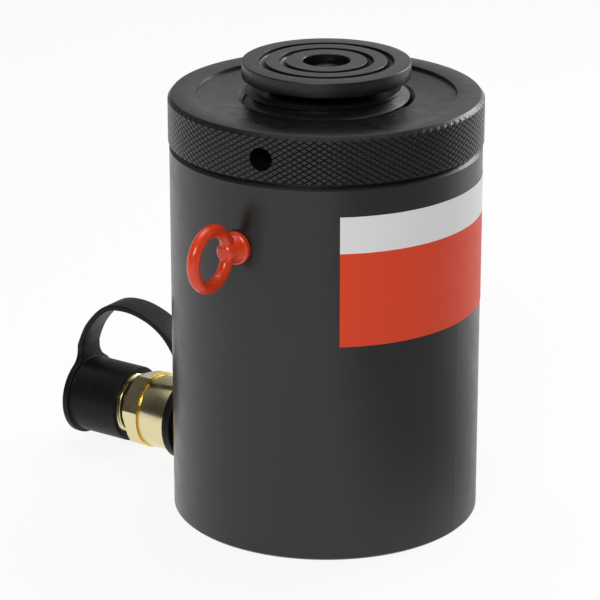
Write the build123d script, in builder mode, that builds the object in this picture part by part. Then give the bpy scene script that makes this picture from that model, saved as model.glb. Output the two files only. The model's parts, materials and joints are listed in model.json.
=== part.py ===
from build123d import *
from math import cos, radians, sin, sqrt
import os

# Locking collar hydraulic cylinder, single acting, load return, in millimetres.
# The origin is the centre of the barrel's foot. +Z runs up the plunger, the coupler points along -X
# and the two lifting eyes stand along -Y and +Y. The plunger is drawn fully lowered, and the lock
# collar is seated on the barrel.

# Clearances
running_fit = 0.05
static_fit = 0.05
piston_fit = 0.07
ring_fit = 0.03
soft_gap = 0.3
stop_gap = 0.3

# Barrel, from its bore outwards
bore_diameter = 95.25
barrel_wall = 15.875
floor_thickness = 16.0
barrel_top_chamfer = 1.2
barrel_foot_chamfer = 0.8
stroke = 50.8

# Stop ring and its bush, in the barrel's mouth
mouth_step = 2.375
stop_ring_length = 33.1
stop_ring_recess = 0.5
stop_ring_bore_gap = 0.6
bush_wall = 3.0
bush_inset = 4.0
bush_top_inset = 7.1
pin_hole_diameter = 6.0
pin_hole_depth = 6.0
lock_screw_diameter = 5.0
lock_screw_length = 10.0
lock_screw_angle = 90.0
lock_screw_socket = 2.5
lock_screw_socket_depth = 3.0

# Plunger
thread_diameter = 67.4
piston_height = 56.5
piston_foot_chamfer = 8.0
piston_edge = 1.0
relief_width = 5.0
relief_depth = 3.6
plunger_cone_height = 2.7
plunger_cone_width = 3.4

# Piston head seals
seal_groove_height = 18.0
seal_groove_depth = 6.0
seal_height = 7.2
seal_lip_notch = 3.0
seal_notch_half_width = 1.4
backup_height = 2.6
seal_groove_play = 0.2
wear_groove_height = 38.0
wear_ring_height = 12.0
wear_ring_thickness = 2.5

# Lock collar
collar_overhang = 0.45
collar_height = 20.8
collar_foot_chamfer_height = 1.7
collar_foot_chamfer_width = 1.75
collar_top_chamfer_height = 1.75
collar_top_chamfer_width = 1.45
collar_rim_width = 9.7
collar_recess_depth = 1.4
collar_lead_in = 2.1
tommy_hole_diameter = 9.5
tommy_hole_depth = 18.0
tommy_hole_angle = -79.8
tommy_hole_count = 3

# Swivel cap on its ball seat
cap_diameter = 68.3
cap_rim_thickness = 6.3
cap_edge = 0.8
cap_gap = 4.1
ball_radius = 28.0
ball_centre_rise = 12.2
cap_web_hole_diameter = 13.4
cap_counterbore_diameter = 19.1
cap_counterbore_depth = 14.3
cap_groove_depth = 1.8
cap_groove_width = 2.7
cap_groove_inset = 6.85
cap_groove_spacing = 8.2

# Cap screw, washer and disc springs
screw_diameter = 8.0
screw_head_diameter = 13.0
screw_head_height = 8.0
screw_head_edge = 0.8
screw_socket = 6.0
screw_socket_depth = 4.0
screw_length = 30.0
screw_hole_run_out = 2.0
screw_drop = 3.1
washer_diameter = 15.2
washer_thickness = 1.6
disc_spring_diameter = 14.6
disc_spring_bore = 8.8
disc_spring_thickness = 0.4
disc_spring_height = 0.8

# Lifting eyes
eye_drop = 27.4
eye_reach = 17.4
eye_ring_outside = 27.8
eye_wire_diameter = 5.2
eye_shoulder_diameter = 13.6
eye_shoulder_thickness = 1.7
eye_flare_diameter = 10.4
eye_neck_diameter = 7.0
eye_nose_rise = 0.6
eye_spot_face_depth = 0.4
eye_spot_face_margin = 0.4
eye_thread_diameter = 6.35
eye_hole_run_out = 1.0
eye_wall_left = 2.0

# Port and its nipple
port_height = 20.7
nipple_diameter = 17.2
nipple_bore = 9.0
port_floor_wall = 2.4
nipple_in_coupler = 12.3
oil_way_diameter = 5.0
oil_way_overrun = 1.0

# Strap ring on the nipple
strap_ring_offset = 4.9
strap_ring_thickness = 3.9
strap_ring_diameter = 36.0

# Coupler, measured outwards along its axis
coupler_round_diameter = 32.0
coupler_round_length = 14.4
coupler_back_chamfer = 0.8
coupler_groove_width = 0.9
coupler_groove_depth = 2.0
coupler_hex_flats = 29.5
coupler_hex_length = 8.1
coupler_hex_turn = 10.5
coupler_hex_chamfer_length = 0.8
coupler_hex_chamfer_width = 1.5
spigot_tail_diameter = 22.0
spigot_neck_diameter = 25.0
spigot_neck_length = 3.8
spigot_diameter = 26.8
spigot_length = 22.8
spigot_edge = 1.2
chamber_diameter = 16.0
chamber_length = 19.0
mouth_bore_diameter = 19.2
mouth_bore_depth = 14.4
valve_seat_diameter = 11.0
mouth_seal_wire = 2.6
mouth_seal_depth = 5.0

# Poppet valve in the coupler
guide_thickness = 3.0
guide_hole_diameter = 3.4
guide_hole_count = 3
guide_hole_circle = 11.0
poppet_stem_diameter = 5.0
poppet_stem_overrun = 2.0
poppet_head_diameter = 14.0
poppet_head_length = 3.0
poppet_cone_length = 5.6
poppet_nose_diameter = 8.0
poppet_nose_length = 6.0
poppet_nose_edge = 1.0
poppet_seal_wire = 1.6
poppet_seal_inset = 0.7
spring_wire = 0.9
spring_diameter = 10.2
spring_coils = 4.0
spring_wire_sides = 8

# Dust cap and its strap
dust_cap_wall = 2.8
dust_cap_length = 27.3
dust_cap_end_wall = 4.3
dust_cap_flange_overhang = 1.4
dust_cap_flange_thickness = 2.9
dust_cap_edge = 0.5
strap_width = 13.0
strap_thickness = 2.4
strap_root_rise = 4.4
strap_root_fillet = 7.0
strap_crest_rise = 27.6
strap_corners = ((0.98, 0.45), (0.72, 1.03), (0.28, 0.94), (0.036, 0.45))
strap_bends = (0.53, 0.59, 0.82, 0.36)

# Label
label_thickness = 0.2
label_glue = 0.12
label_height = 53.7
label_drop = 11.6
label_half_angle = 51.5

# Sizes worked out from those above
bore_radius = bore_diameter / 2
barrel_radius = bore_radius + barrel_wall
thread_radius = thread_diameter / 2
piston_radius = bore_radius - piston_fit
ring_running_radius = bore_radius - ring_fit
piston_top = floor_thickness + piston_height
mouth_floor = piston_top + stroke + stop_gap
mouth_radius = bore_radius + mouth_step
stop_ring_top = mouth_floor + stop_ring_length
barrel_height = stop_ring_top + stop_ring_recess
collar_top = barrel_height + collar_height
plunger_top = collar_top + plunger_cone_height
cap_underside = plunger_top + cap_gap
cap_top = cap_underside + cap_rim_thickness
ball_centre = cap_underside + ball_centre_rise
cap_counterbore_floor = cap_top - cap_counterbore_depth
screw_head_top = cap_top - screw_drop
screw_head_bottom = screw_head_top - screw_head_height
eye_height = barrel_height - eye_drop
eye_thread_length = barrel_radius - mouth_radius - eye_wall_left - eye_hole_run_out
nipple_in_barrel = barrel_wall - port_floor_wall


def ball_height(radius, sphere_radius):
    """Height of the underside of a sphere about the ball centre, at a radius from the Z axis."""
    return ball_centre - sqrt(sphere_radius**2 - radius**2)


def axial_plane(outward, height):
    """Plane through a radial axis of the barrel: local x is up, local y runs outwards from the wall."""
    direction = Vector(*outward)
    wall = direction * barrel_radius + Vector(0, 0, height)
    return Plane(origin=wall, x_dir=(0, 0, 1), z_dir=Vector(0, 0, 1).cross(direction))


def outline(plane, *corners):
    """Face inside a closed outline of corners, each a radius and a distance along the axis."""
    with BuildSketch(plane) as face:
        with BuildLine():
            Polyline(*corners, close=True)
        make_face()
    return face.sketch


def finish(part, name):
    """Label a finished piece and write it to its file."""
    part.label = name
    export_step(part, "parts/" + name + ".step")


os.makedirs("parts", exist_ok=True)
upright = Plane.XZ
coupler_section = axial_plane((-1, 0, 0), port_height)
coupler_axis = Axis(coupler_section.origin, (-1, 0, 0))


def across_coupler(distance):
    """Plane across the coupler's axis, at a distance out from the barrel's wall, with +Y as local x."""
    return Plane(origin=(-barrel_radius - distance, 0, port_height), x_dir=(0, 1, 0), z_dir=(-1, 0, 0))


# Cylinder barrel: a cup bored from the top, with the port, the eye holes and the threaded mouth
eye_hole_radius = eye_thread_diameter / 2 + static_fit
eye_hole_depth = eye_thread_length + eye_hole_run_out
eye_spot_face_radius = eye_shoulder_diameter / 2 + eye_spot_face_margin
with BuildPart() as cylinder_barrel:
    Cylinder(barrel_radius, barrel_height, align=(Align.CENTER, Align.CENTER, Align.MIN))
    chamfer(cylinder_barrel.edges().sort_by(Axis.Z)[-1], barrel_top_chamfer)
    chamfer(cylinder_barrel.edges().sort_by(Axis.Z)[0], barrel_foot_chamfer)
    with BuildSketch(Plane.XY.offset(floor_thickness)):
        Circle(bore_radius)
    extrude(amount=barrel_height, mode=Mode.SUBTRACT)
    with BuildSketch(Plane.XY.offset(mouth_floor)):
        Circle(mouth_radius)
    extrude(amount=barrel_height, mode=Mode.SUBTRACT)
    with BuildSketch(across_coupler(-nipple_in_barrel)):
        Circle(nipple_diameter / 2 + static_fit)
    extrude(amount=barrel_radius, mode=Mode.SUBTRACT)
    with BuildSketch(across_coupler(bore_radius - barrel_radius - oil_way_overrun)):
        Circle(oil_way_diameter / 2)
    extrude(amount=barrel_radius - bore_radius, mode=Mode.SUBTRACT)
    for side in (-1, 1):
        eye_section = axial_plane((0, side, 0), eye_height)
        eye_hole = outline(
            eye_section,
            (0, -eye_hole_depth),
            (eye_hole_radius, -eye_hole_depth),
            (eye_hole_radius, -eye_spot_face_depth),
            (eye_spot_face_radius, -eye_spot_face_depth),
            (eye_spot_face_radius, eye_spot_face_depth),
            (0, eye_spot_face_depth),
        )
        revolve(eye_hole, axis=Axis(eye_section.origin, (0, side, 0)), mode=Mode.SUBTRACT)
    with BuildSketch(Plane.XY.offset(stop_ring_top - lock_screw_length)):
        with PolarLocations(mouth_radius, 1, start_angle=lock_screw_angle):
            Circle(lock_screw_diameter / 2)
    extrude(amount=barrel_height, mode=Mode.SUBTRACT)
finish(cylinder_barrel.part, "cylinder_barrel")

# Stop ring: screwed into the mouth, with two holes for a pin spanner and the lock screw's half hole
bush_outer_radius = thread_radius + running_fit + bush_wall
bush_bottom = mouth_floor + bush_inset
bush_top = stop_ring_top - bush_top_inset
pin_circle_radius = (bush_outer_radius + mouth_radius) / 2
with BuildPart() as stop_ring:
    ring_bore = thread_radius + stop_ring_bore_gap
    revolve(
        outline(
            upright,
            (ring_bore, mouth_floor),
            (mouth_radius - static_fit, mouth_floor),
            (mouth_radius - static_fit, stop_ring_top),
            (ring_bore, stop_ring_top),
            (ring_bore, bush_top),
            (bush_outer_radius + static_fit, bush_top),
            (bush_outer_radius + static_fit, bush_bottom),
            (ring_bore, bush_bottom),
        ),
        axis=Axis.Z,
    )
    with BuildSketch(Plane.XY.offset(stop_ring_top - pin_hole_depth)):
        with PolarLocations(pin_circle_radius, 2):
            Circle(pin_hole_diameter / 2)
    extrude(amount=pin_hole_depth, mode=Mode.SUBTRACT)
    with BuildSketch(Plane.XY.offset(stop_ring_top - lock_screw_length)):
        with PolarLocations(mouth_radius, 1, start_angle=lock_screw_angle):
            Circle(lock_screw_diameter / 2)
    extrude(amount=lock_screw_length, mode=Mode.SUBTRACT)
finish(stop_ring.part, "stop_ring")

# Set screw on the joint line between the stop ring and the barrel
with BuildPart() as stop_ring_screw:
    with BuildSketch(Plane.XY.offset(stop_ring_top - lock_screw_length)):
        with PolarLocations(mouth_radius, 1, start_angle=lock_screw_angle):
            Circle(lock_screw_diameter / 2 - static_fit)
    extrude(amount=lock_screw_length)
    with BuildSketch(Plane.XY.offset(stop_ring_top - lock_screw_socket_depth)):
        with PolarLocations(mouth_radius, 1, start_angle=lock_screw_angle):
            RegularPolygon(lock_screw_socket / 2, 6, major_radius=False)
    extrude(amount=lock_screw_socket_depth, mode=Mode.SUBTRACT)
finish(stop_ring_screw.part, "stop_ring_screw")

# Bronze bush in the stop ring's groove
with BuildPart() as guide_bush:
    revolve(
        outline(
            upright,
            (thread_radius + running_fit, bush_bottom),
            (bush_outer_radius, bush_bottom),
            (bush_outer_radius, bush_top),
            (thread_radius + running_fit, bush_top),
        ),
        axis=Axis.Z,
    )
finish(guide_bush.part, "guide_bush")

# Plunger: piston head, thread relief, threaded rod and the ball seat in its top
seal_floor_radius = piston_radius - seal_groove_depth
seal_bottom = floor_thickness + seal_groove_height
seal_groove_top = seal_bottom + seal_height + backup_height + seal_groove_play
wear_floor_radius = ring_running_radius - wear_ring_thickness - static_fit
wear_bottom = floor_thickness + wear_groove_height
seat_radius = ball_radius + running_fit
screw_hole_radius = screw_diameter / 2 + static_fit
screw_hole_bottom = screw_head_bottom - screw_length - screw_hole_run_out
seat_edge = sqrt(seat_radius**2 - (ball_centre - plunger_top) ** 2)
seat_middle = (seat_edge + screw_hole_radius) / 2
with BuildPart() as plunger:
    with BuildSketch(upright):
        with BuildLine():
            foot = Polyline(
                (0, screw_hole_bottom),
                (0, floor_thickness),
                (piston_radius - piston_foot_chamfer, floor_thickness),
                (piston_radius, floor_thickness + piston_foot_chamfer),
                (piston_radius, seal_bottom),
                (seal_floor_radius, seal_bottom),
                (seal_floor_radius, seal_groove_top),
                (piston_radius, seal_groove_top),
                (piston_radius, wear_bottom),
                (wear_floor_radius, wear_bottom),
                (wear_floor_radius, wear_bottom + wear_ring_height),
                (piston_radius, wear_bottom + wear_ring_height),
                (piston_radius, piston_top - piston_edge),
                (piston_radius - piston_edge, piston_top),
                (thread_radius - relief_depth, piston_top),
                (thread_radius - relief_depth, piston_top + relief_width),
                (thread_radius, piston_top + relief_width + relief_depth),
                (thread_radius, collar_top),
                (thread_radius - plunger_cone_width, plunger_top),
                (seat_edge, plunger_top),
            )
            seat = ThreePointArc(
                foot @ 1,
                (seat_middle, ball_height(seat_middle, seat_radius)),
                (screw_hole_radius, ball_height(screw_hole_radius, seat_radius)),
            )
            Polyline(seat @ 1, (screw_hole_radius, screw_hole_bottom), foot @ 0)
        make_face()
    revolve(axis=Axis.Z)
finish(plunger.part, "plunger")

# Guide band round the piston head
with BuildPart() as wear_ring:
    revolve(
        outline(
            upright,
            (ring_running_radius - wear_ring_thickness, wear_bottom),
            (ring_running_radius, wear_bottom),
            (ring_running_radius, wear_bottom + wear_ring_height),
            (ring_running_radius - wear_ring_thickness, wear_bottom + wear_ring_height),
        ),
        axis=Axis.Z,
    )
finish(wear_ring.part, "wear_ring")

# U-cup with its lips downwards, towards the oil
with BuildPart() as piston_seal:
    seal_inner = seal_floor_radius + static_fit
    seal_middle = (seal_inner + ring_running_radius) / 2
    revolve(
        outline(
            upright,
            (seal_inner, seal_bottom),
            (seal_middle - seal_notch_half_width, seal_bottom),
            (seal_middle, seal_bottom + seal_lip_notch),
            (seal_middle + seal_notch_half_width, seal_bottom),
            (ring_running_radius, seal_bottom),
            (ring_running_radius, seal_bottom + seal_height),
            (seal_inner, seal_bottom + seal_height),
        ),
        axis=Axis.Z,
    )
finish(piston_seal.part, "piston_seal")

# Back-up ring above the U-cup
with BuildPart() as seal_backup_ring:
    backup_bottom = seal_bottom + seal_height
    revolve(
        outline(
            upright,
            (seal_inner, backup_bottom),
            (ring_running_radius, backup_bottom),
            (ring_running_radius, backup_bottom + backup_height),
            (seal_inner, backup_bottom + backup_height),
        ),
        axis=Axis.Z,
    )
finish(seal_backup_ring.part, "seal_backup_ring")

# Lock collar: knurled outside, threaded inside, recessed on top, with blind holes for a tommy bar
with BuildPart() as lock_collar:
    collar_radius = barrel_radius + collar_overhang
    collar_bore = thread_radius + running_fit
    recess_radius = collar_radius - collar_top_chamfer_width - collar_rim_width
    recess_floor = collar_top - collar_recess_depth
    revolve(
        outline(
            upright,
            (collar_bore, barrel_height),
            (collar_radius - collar_foot_chamfer_width, barrel_height),
            (collar_radius, barrel_height + collar_foot_chamfer_height),
            (collar_radius, collar_top - collar_top_chamfer_height),
            (collar_radius - collar_top_chamfer_width, collar_top),
            (recess_radius, collar_top),
            (recess_radius, recess_floor),
            (collar_bore + collar_lead_in, recess_floor),
            (collar_bore, recess_floor - collar_lead_in),
        ),
        axis=Axis.Z,
    )
    for turn in range(tommy_hole_count):
        hole_angle = tommy_hole_angle + turn * 360 / tommy_hole_count
        hole_direction = Vector(cos(radians(hole_angle)), sin(radians(hole_angle)), 0)
        hole_floor = hole_direction * (collar_radius - tommy_hole_depth)
        hole_centre = hole_floor + Vector(0, 0, barrel_height + collar_height / 2)
        with BuildSketch(Plane(origin=hole_centre, z_dir=hole_direction)):
            Circle(tommy_hole_diameter / 2)
        extrude(amount=2 * tommy_hole_depth, mode=Mode.SUBTRACT)
finish(lock_collar.part, "lock_collar")

# Swivel cap: grooved disc above, ball below, with the screw's counterbore through it
with BuildPart() as swivel_cap:
    cap_radius = cap_diameter / 2
    web_radius = cap_web_hole_diameter / 2
    ball_edge = sqrt(ball_radius**2 - ball_centre_rise**2)
    ball_middle = (ball_edge + web_radius) / 2
    with BuildSketch(upright):
        with BuildLine():
            ball = ThreePointArc(
                (web_radius, ball_height(web_radius, ball_radius)),
                (ball_middle, ball_height(ball_middle, ball_radius)),
                (ball_edge, cap_underside),
            )
            Polyline(
                ball @ 1,
                (cap_radius - cap_edge, cap_underside),
                (cap_radius, cap_underside + cap_edge),
                (cap_radius, cap_top - cap_edge),
                (cap_radius - cap_edge, cap_top),
                (cap_counterbore_diameter / 2, cap_top),
                (cap_counterbore_diameter / 2, cap_counterbore_floor),
                (web_radius, cap_counterbore_floor),
                ball @ 0,
            )
        make_face()
        groove_corner = cap_groove_width / 3
        outer_groove_radius = cap_radius - cap_groove_inset - cap_groove_width / 2
        for groove_radius in (outer_groove_radius, outer_groove_radius - cap_groove_spacing):
            with Locations((groove_radius, cap_top)):
                RectangleRounded(cap_groove_width, 2 * cap_groove_depth, groove_corner, mode=Mode.SUBTRACT)
    revolve(axis=Axis.Z)
finish(swivel_cap.part, "swivel_cap")

# Socket-head screw that holds the cap
with BuildPart() as cap_screw:
    revolve(
        outline(
            upright,
            (0, screw_head_bottom - screw_length),
            (screw_diameter / 2, screw_head_bottom - screw_length),
            (screw_diameter / 2, screw_head_bottom),
            (screw_head_diameter / 2, screw_head_bottom),
            (screw_head_diameter / 2, screw_head_top - screw_head_edge),
            (screw_head_diameter / 2 - screw_head_edge, screw_head_top),
            (0, screw_head_top),
        ),
        axis=Axis.Z,
    )
    with BuildSketch(Plane.XY.offset(screw_head_top - screw_socket_depth)):
        RegularPolygon(screw_socket / 2, 6, major_radius=False)
    extrude(amount=screw_socket_depth, mode=Mode.SUBTRACT)
finish(cap_screw.part, "cap_screw")

# Washer under the screw's head
with BuildPart() as cap_washer:
    with BuildSketch(Plane.XY.offset(screw_head_bottom - washer_thickness)):
        Circle(washer_diameter / 2)
        Circle(screw_diameter / 2 + running_fit, mode=Mode.SUBTRACT)
    extrude(amount=washer_thickness)
finish(cap_washer.part, "cap_washer")

# Two disc springs, set rim to rim, between the washer and the cap
with BuildPart() as cap_disc_springs:
    springs_top = screw_head_bottom - washer_thickness
    cone_rise = disc_spring_height - disc_spring_thickness
    rim_level = springs_top - disc_spring_height
    for slope in (-1, 1):
        revolve(
            outline(
                upright,
                (disc_spring_diameter / 2, rim_level),
                (disc_spring_diameter / 2, rim_level + slope * disc_spring_thickness),
                (disc_spring_bore / 2, rim_level + slope * disc_spring_height),
                (disc_spring_bore / 2, rim_level + slope * cone_rise),
            ),
            axis=Axis.Z,
        )
finish(cap_disc_springs.part, "cap_disc_springs")

# Lifting eyes, front and rear: a bent ring on a flared shoulder and a threaded shank
for side, eye_name in ((-1, "lifting_eye_front"), (1, "lifting_eye_rear")):
    eye_section = axial_plane((0, side, 0), eye_height)
    ring_radius = (eye_ring_outside - eye_wire_diameter) / 2
    neck_end = eye_reach - ring_radius
    ring_centre = (0, side * (barrel_radius + eye_reach), eye_height)
    with BuildPart() as lifting_eye:
        revolve(
            outline(
                eye_section,
                (0, -eye_thread_length),
                (eye_thread_diameter / 2, -eye_thread_length),
                (eye_thread_diameter / 2, -eye_spot_face_depth),
                (eye_shoulder_diameter / 2, -eye_spot_face_depth),
                (eye_shoulder_diameter / 2, eye_shoulder_thickness),
                (eye_flare_diameter / 2, eye_shoulder_thickness),
                (eye_neck_diameter / 2, neck_end - eye_wire_diameter / 4),
                (eye_neck_diameter / 2, neck_end + eye_wire_diameter / 4),
                (eye_neck_diameter / 4, neck_end + eye_wire_diameter / 2 + eye_nose_rise),
                (0, neck_end + eye_wire_diameter / 2 + eye_nose_rise),
            ),
            axis=Axis(eye_section.origin, (0, side, 0)),
        )
        with Locations(Plane(origin=ring_centre, z_dir=(1, 0, 0))):
            Torus(ring_radius, eye_wire_diameter / 2)
    finish(lifting_eye.part, eye_name)

# Nipple from the port into the coupler
coupler_back = strap_ring_offset + strap_ring_thickness
nipple_end = coupler_back + nipple_in_coupler
with BuildPart() as port_nipple:
    with BuildSketch(across_coupler(-nipple_in_barrel)):
        Circle(nipple_diameter / 2)
        Circle(nipple_bore / 2, mode=Mode.SUBTRACT)
    extrude(amount=nipple_in_barrel + nipple_end)
finish(port_nipple.part, "port_nipple")

# Moulded ring that holds the strap on the nipple
with BuildPart() as strap_ring:
    with BuildSketch(across_coupler(strap_ring_offset)):
        Circle(strap_ring_diameter / 2)
        Circle(nipple_diameter / 2 + soft_gap, mode=Mode.SUBTRACT)
    extrude(amount=strap_ring_thickness)
finish(strap_ring.part, "strap_ring")

# Coupler body: round, then hexagonal, on the nipple
hex_start = coupler_back + coupler_round_length
hex_end = hex_start + coupler_hex_length
hex_corner_radius = coupler_hex_flats / sqrt(3)
groove_radius = coupler_round_diameter / 2 - coupler_groove_depth
chamber_start = nipple_end + guide_thickness
with BuildPart() as coupler_body:
    with BuildSketch(across_coupler(hex_start)):
        RegularPolygon(coupler_hex_flats / 2, 6, major_radius=False, rotation=coupler_hex_turn)
    extrude(amount=coupler_hex_length)
    revolve(
        outline(
            coupler_section,
            (0, hex_start),
            (hex_corner_radius, hex_start),
            (hex_corner_radius, hex_end - coupler_hex_chamfer_length),
            (hex_corner_radius - coupler_hex_chamfer_width, hex_end),
            (0, hex_end),
        ),
        axis=coupler_axis,
        mode=Mode.INTERSECT,
    )
    revolve(
        outline(
            coupler_section,
            (0, coupler_back),
            (coupler_round_diameter / 2 - coupler_back_chamfer, coupler_back),
            (coupler_round_diameter / 2, coupler_back + coupler_back_chamfer),
            (coupler_round_diameter / 2, hex_start - coupler_groove_width),
            (groove_radius, hex_start - coupler_groove_width),
            (groove_radius, hex_start),
            (0, hex_start),
        ),
        axis=coupler_axis,
    )
    revolve(
        outline(
            coupler_section,
            (0, coupler_back),
            (nipple_diameter / 2 + static_fit, coupler_back),
            (nipple_diameter / 2 + static_fit, chamber_start),
            (spigot_tail_diameter / 2 + static_fit, chamber_start),
            (spigot_tail_diameter / 2 + static_fit, hex_end),
            (0, hex_end),
        ),
        axis=coupler_axis,
        mode=Mode.SUBTRACT,
    )
finish(coupler_body.part, "coupler_body")

# Spigot: screwed into the body, with the valve's chamber and seat, and the thread for the hose's nut
spigot_start = hex_end + spigot_neck_length
spigot_end = spigot_start + spigot_length
chamber_end = nipple_end + chamber_length
mouth_floor_out = spigot_end - mouth_bore_depth
mouth_seal_centre = spigot_end - mouth_seal_depth
mouth_seal_radius = mouth_bore_diameter / 2 + mouth_seal_wire / 4
seal_groove_half = mouth_seal_wire / 2 + static_fit
with BuildPart() as coupler_spigot:
    revolve(
        outline(
            coupler_section,
            (chamber_diameter / 2, chamber_start + static_fit),
            (spigot_tail_diameter / 2, chamber_start + static_fit),
            (spigot_tail_diameter / 2, hex_end),
            (spigot_neck_diameter / 2, hex_end),
            (spigot_neck_diameter / 2, spigot_start),
            (spigot_diameter / 2, spigot_start),
            (spigot_diameter / 2, spigot_end - spigot_edge),
            (spigot_diameter / 2 - spigot_edge, spigot_end),
            (mouth_bore_diameter / 2, spigot_end),
            (mouth_bore_diameter / 2, mouth_seal_centre + seal_groove_half),
            (mouth_seal_radius + seal_groove_half, mouth_seal_centre + seal_groove_half),
            (mouth_seal_radius + seal_groove_half, mouth_seal_centre - seal_groove_half),
            (mouth_bore_diameter / 2, mouth_seal_centre - seal_groove_half),
            (mouth_bore_diameter / 2, mouth_floor_out),
            (valve_seat_diameter / 2, mouth_floor_out),
            (valve_seat_diameter / 2, chamber_end),
            (chamber_diameter / 2, chamber_end),
        ),
        axis=coupler_axis,
    )
finish(coupler_spigot.part, "coupler_spigot")

# O-ring in the coupler's mouth
with BuildPart() as mouth_seal:
    with Locations(across_coupler(mouth_seal_centre)):
        Torus(mouth_seal_radius, mouth_seal_wire / 2)
finish(mouth_seal.part, "mouth_seal")

# Spider between the nipple and the spigot, which guides the poppet's stem and carries its spring
with BuildPart() as poppet_guide:
    with BuildSketch(across_coupler(nipple_end)):
        Circle(nipple_diameter / 2)
        Circle(poppet_stem_diameter / 2 + running_fit, mode=Mode.SUBTRACT)
        with PolarLocations(guide_hole_circle / 2, guide_hole_count):
            Circle(guide_hole_diameter / 2, mode=Mode.SUBTRACT)
    extrude(amount=guide_thickness)
finish(poppet_guide.part, "poppet_guide")

# Poppet: stem, head and cone, with a nose that a hose's probe pushes in
head_back = chamber_end - poppet_head_length - poppet_cone_length + (mouth_floor_out - chamber_end) / 2
cone_start = head_back + poppet_head_length
cone_end = cone_start + poppet_cone_length
nose_radius = poppet_nose_diameter / 2
head_radius = poppet_head_diameter / 2
cone_slope = (head_radius - nose_radius) / poppet_cone_length
seal_place = cone_start + poppet_seal_inset
seal_circle = head_radius - cone_slope * poppet_seal_inset - poppet_seal_wire / 2
with BuildPart() as coupler_poppet:
    revolve(
        outline(
            coupler_section,
            (0, nipple_end - poppet_stem_overrun),
            (poppet_stem_diameter / 2, nipple_end - poppet_stem_overrun),
            (poppet_stem_diameter / 2, head_back),
            (head_radius, head_back),
            (head_radius, cone_start),
            (nose_radius, cone_end),
            (nose_radius, cone_end + poppet_nose_length - poppet_nose_edge),
            (nose_radius - poppet_nose_edge, cone_end + poppet_nose_length),
            (0, cone_end + poppet_nose_length),
        ),
        axis=coupler_axis,
    )
    with Locations(across_coupler(seal_place)):
        Torus(seal_circle, poppet_seal_wire / 2 + static_fit, mode=Mode.SUBTRACT)
finish(coupler_poppet.part, "coupler_poppet")

# O-ring in the poppet's cone
with BuildPart() as poppet_seal:
    with Locations(across_coupler(seal_place)):
        Torus(seal_circle, poppet_seal_wire / 2)
finish(poppet_seal.part, "poppet_seal")

# Coil spring between the spider and the poppet's head. Its wire has eight flats, so the solid stays light
spring_start = chamber_start + spring_wire / 2
spring_span = head_back - chamber_start - spring_wire
with BuildPart() as poppet_spring:
    with BuildLine():
        coil = Helix(
            spring_span / spring_coils,
            spring_span,
            (spring_diameter - spring_wire) / 2,
            center=across_coupler(spring_start).origin,
            direction=(-1, 0, 0),
        )
    with BuildSketch(Plane(origin=coil @ 0, z_dir=coil % 0)):
        RegularPolygon(spring_wire / 2, spring_wire_sides)
    sweep(path=coil, is_frenet=True)
finish(poppet_spring.part, "poppet_spring")

# Dust cap: a blind moulding over the spigot, with a flange at its closed end
dust_cap_bore = spigot_diameter / 2 + soft_gap
dust_cap_radius = dust_cap_bore + dust_cap_wall
flange_radius = dust_cap_radius + dust_cap_flange_overhang
dust_cap_bore_end = spigot_end + soft_gap
dust_cap_end = dust_cap_bore_end + dust_cap_end_wall
dust_cap_mouth = dust_cap_end - dust_cap_length
flange_start = dust_cap_end - dust_cap_flange_thickness
with BuildPart() as dust_cap:
    revolve(
        outline(
            coupler_section,
            (dust_cap_bore, dust_cap_mouth),
            (dust_cap_radius - dust_cap_edge, dust_cap_mouth),
            (dust_cap_radius, dust_cap_mouth + dust_cap_edge),
            (dust_cap_radius, flange_start),
            (flange_radius, flange_start),
            (flange_radius, dust_cap_end - dust_cap_edge),
            (flange_radius - dust_cap_edge, dust_cap_end),
            (0, dust_cap_end),
            (0, dust_cap_bore_end),
            (dust_cap_bore, dust_cap_bore_end),
        ),
        axis=coupler_axis,
    )
finish(dust_cap.part, "dust_cap")

# Strap: a moulded band that arches from the dust cap's flange down to the ring, with a flared root at each
strap_start = flange_start + dust_cap_flange_thickness / 2
strap_end = strap_ring_offset + strap_ring_thickness / 2
strap_span = strap_start - strap_end
strap_ring_radius = strap_ring_diameter / 2
course = []
for share, rise in strap_corners:
    course.append((strap_ring_radius + rise * strap_crest_rise, strap_end + share * strap_span))
with BuildPart() as cap_strap:
    with BuildSketch(coupler_section):
        with BuildLine():
            arch = FilletPolyline(
                (flange_radius + strap_root_rise / 2, strap_start),
                *course,
                (strap_ring_radius + strap_root_rise / 2, strap_end),
                radius=[share * strap_crest_rise for share in strap_bends],
            )
        trace(arch, strap_thickness)
    extrude(amount=strap_width / 2, both=True)
    for radius, gap, start, thickness in (
        (flange_radius, soft_gap, flange_start, dust_cap_flange_thickness),
        (strap_ring_radius, static_fit, strap_ring_offset, strap_ring_thickness),
    ):
        with BuildSketch(across_coupler(start)) as root:
            Circle(radius)
            with Locations((0, -radius)):
                Rectangle(strap_width, 2 * strap_root_rise)
            fillet(root.vertices().sort_by(Axis.Y)[2:4], strap_root_fillet)
            Circle(radius + gap, mode=Mode.SUBTRACT)
        extrude(amount=thickness)
finish(cap_strap.part, "cap_strap")

# Label: a thin adhesive band on the side away from the coupler
label_bottom = barrel_height - label_drop - label_height
label_inner = barrel_radius + label_glue
with BuildPart() as label:
    with BuildSketch(Plane.XY.offset(label_bottom)):
        with BuildLine():
            inner_arc = CenterArc((0, 0), label_inner, -label_half_angle, 2 * label_half_angle)
            outer_arc = CenterArc(
                (0, 0), label_inner + label_thickness, -label_half_angle, 2 * label_half_angle
            )
            Line(inner_arc @ 0, outer_arc @ 0)
            Line(inner_arc @ 1, outer_arc @ 1)
        make_face()
    extrude(amount=label_height)
finish(label.part, "label")
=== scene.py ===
import json
from math import asin, atan2, cos, hypot, pi, radians, sin, sqrt, tan, tau

import bmesh
import bpy
from mathutils import Matrix, Vector


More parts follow.
